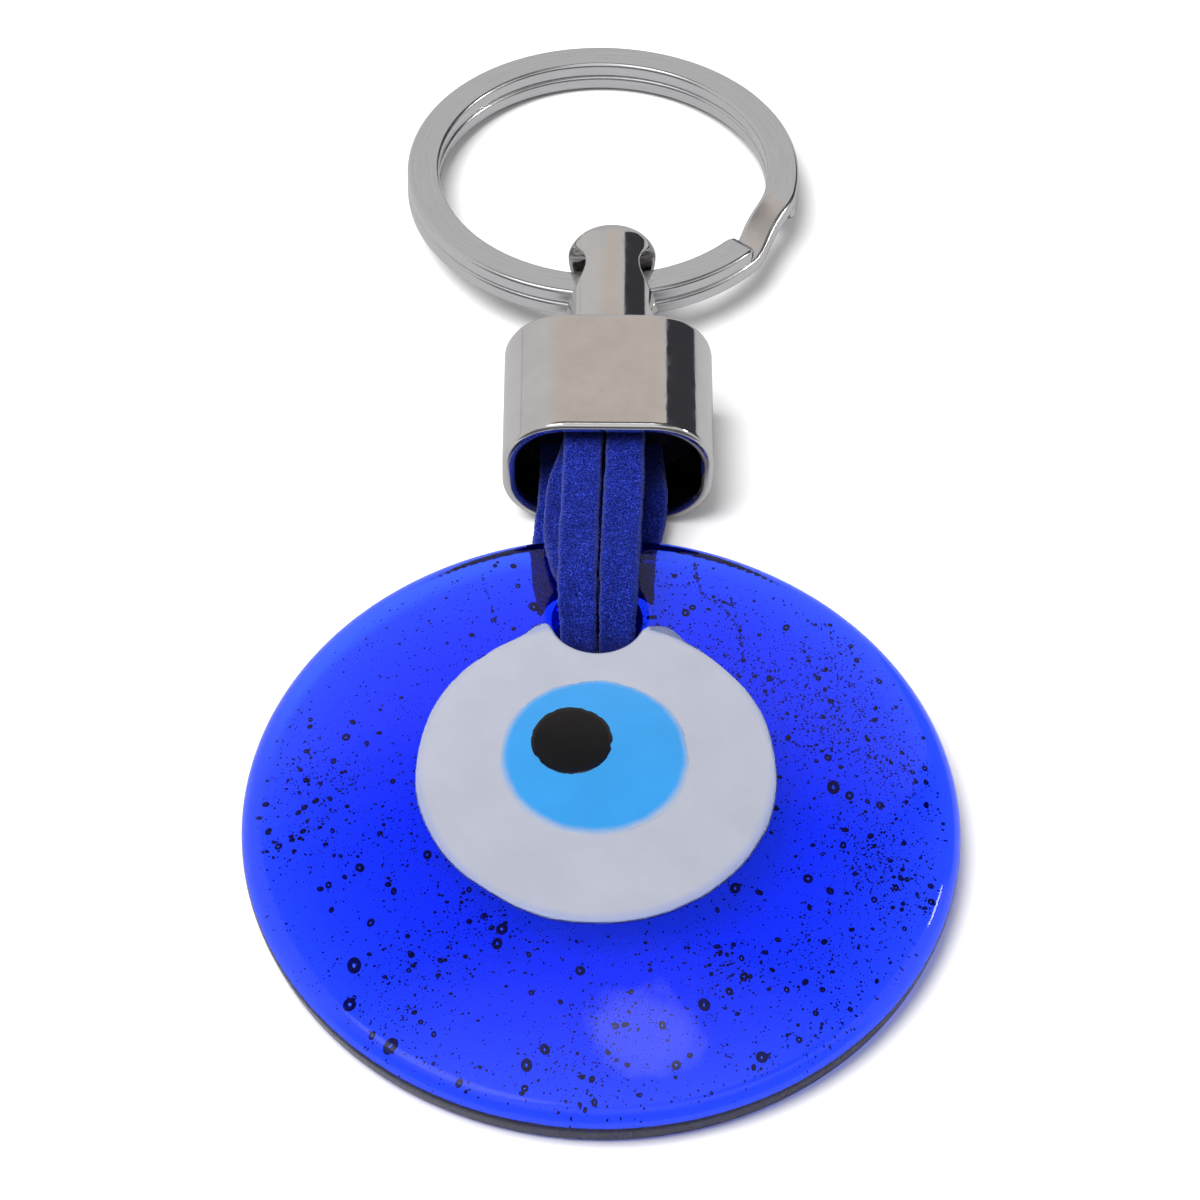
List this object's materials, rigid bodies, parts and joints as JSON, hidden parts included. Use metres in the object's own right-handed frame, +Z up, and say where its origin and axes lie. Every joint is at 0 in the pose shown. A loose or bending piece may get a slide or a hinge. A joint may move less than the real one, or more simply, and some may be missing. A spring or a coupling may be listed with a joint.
{
  "type": "glass eye key ring",
  "caption": "Key ring with a split ring in a metal end cap and a round blue glass eye charm hanging from suede strap loops.",
  "frame": {"origin": "bottom centre of the whole object as it lies on its back on a flat surface", "axes": "+X across, +Y from the glass disc to the split ring, +Z up from the surface, out of the front of the glass"},
  "size_m": [0.05, 0.1026, 0.0112],
  "materials": {
    "ring_nickel": "polished nickel plate, slightly worn",
    "cap_nickel": "polished nickel plate with fine casting waves",
    "glue": "set glue, satin",
    "suede": "royal blue suede lace with a short nap",
    "cobalt_glass": "hand made clear cobalt glass with bubbles",
    "white_glass": "glossy opal glass",
    "light_blue_glass": "glossy opal glass",
    "black_glass": "glossy black glass"
  },
  "bodies": {
    "cap": {"end_cap": "cap_nickel", "glue_plug": "glue", "strap_left": "suede", "strap_right": "suede", "strap_under": "suede"},
    "ring": {"split_ring": "ring_nickel"},
    "disc": {"blue_glass": "cobalt_glass", "white_glass": "white_glass", "light_blue_glass": "light_blue_glass", "black_glass": "black_glass"}
  },
  "joints": [
    {"name": "ring_swing", "type": "hinge", "parent": "cap", "child": "ring", "pos_m": [0.0004, 0.02181, 0.00555], "axis": [1, 0, 0], "range_deg": [-140, 140]},
    {"name": "strap_bend", "type": "hinge", "parent": "cap", "child": "disc", "pos_m": [0, 0.00081, 0.0042], "axis": [-1, 0, 0], "range_deg": [-45, 45], "deforming": ["strap_left", "strap_right", "strap_under"]}
  ]
}
